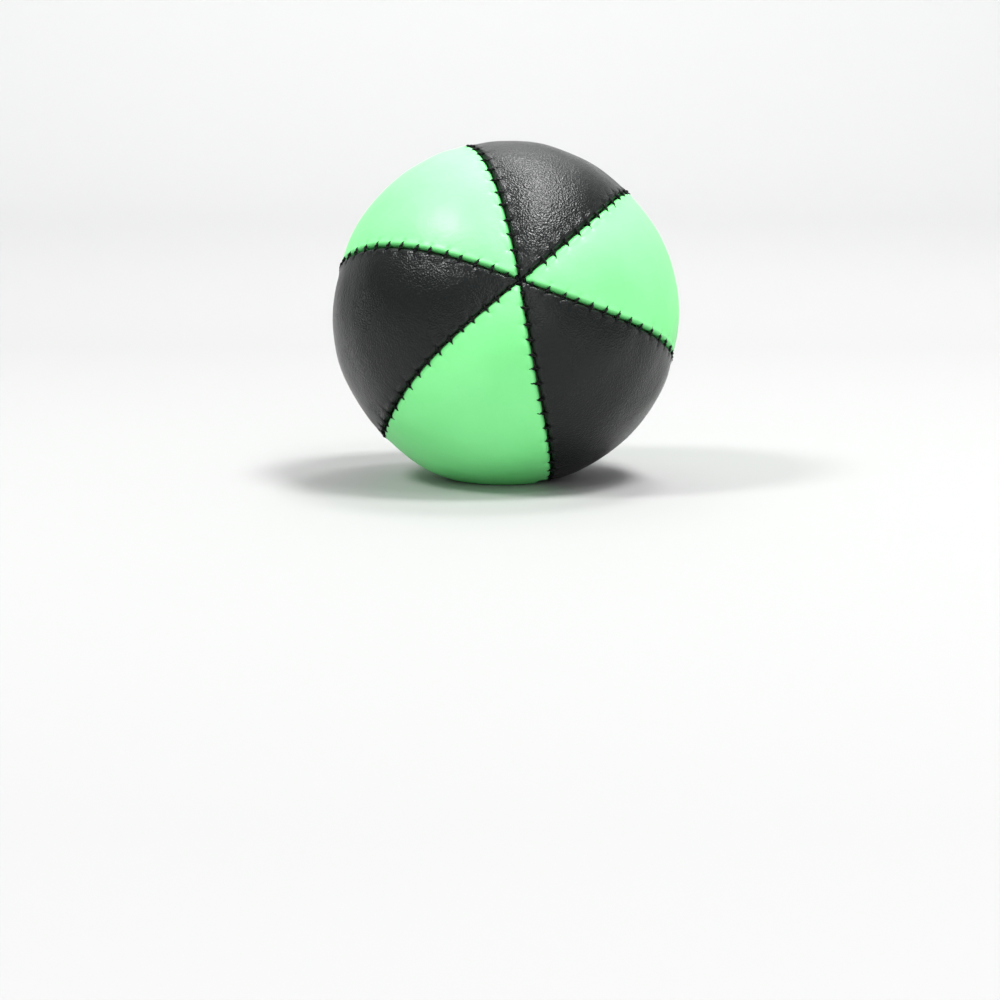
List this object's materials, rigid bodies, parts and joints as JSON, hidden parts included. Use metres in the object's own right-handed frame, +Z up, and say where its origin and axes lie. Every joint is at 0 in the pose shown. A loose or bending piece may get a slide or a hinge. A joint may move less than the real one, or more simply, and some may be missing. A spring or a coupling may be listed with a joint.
{
  "type": "juggling ball",
  "caption": "Beanbag juggling ball sewn from leather gores in two alternating colours with black whip stitching, over a cloth bag of millet.",
  "frame": {"origin": "on the floor, under the middle of the ball as it lies on its pressed flat", "axes": "+Z up. -Y is the side that shows the front star, where the six seams meet, a little above the middle; +X is to its right."},
  "size_m": [0.0648, 0.0656, 0.0632],
  "materials": {
    "black_leather": "fine-grained black synthetic leather, satin",
    "green_leather": "smooth fluorescent green synthetic leather, satin",
    "black_thread": "waxed two-ply polyester thread",
    "bag_cloth": "unbleached plain-weave cotton",
    "bag_thread": "off-white cotton sewing thread",
    "millet": "smooth yellow millet seeds"
  },
  "bodies": {
    "root": {"panel_black_1": "black_leather", "panel_black_2": "black_leather", "panel_black_3": "black_leather", "panel_green_1": "green_leather", "panel_green_2": "green_leather", "panel_green_3": "green_leather", "seam_thread_1": "black_thread", "seam_thread_2": "black_thread", "seam_thread_3": "black_thread", "seam_thread_4": "black_thread", "seam_thread_5": "black_thread", "seam_thread_6": "black_thread", "pole_knot_front": "black_thread", "pole_knot_rear": "black_thread", "inner_bag": "bag_cloth", "bag_closing_thread": "bag_thread", "millet_fill": "millet"}
  },
  "joints": []
}
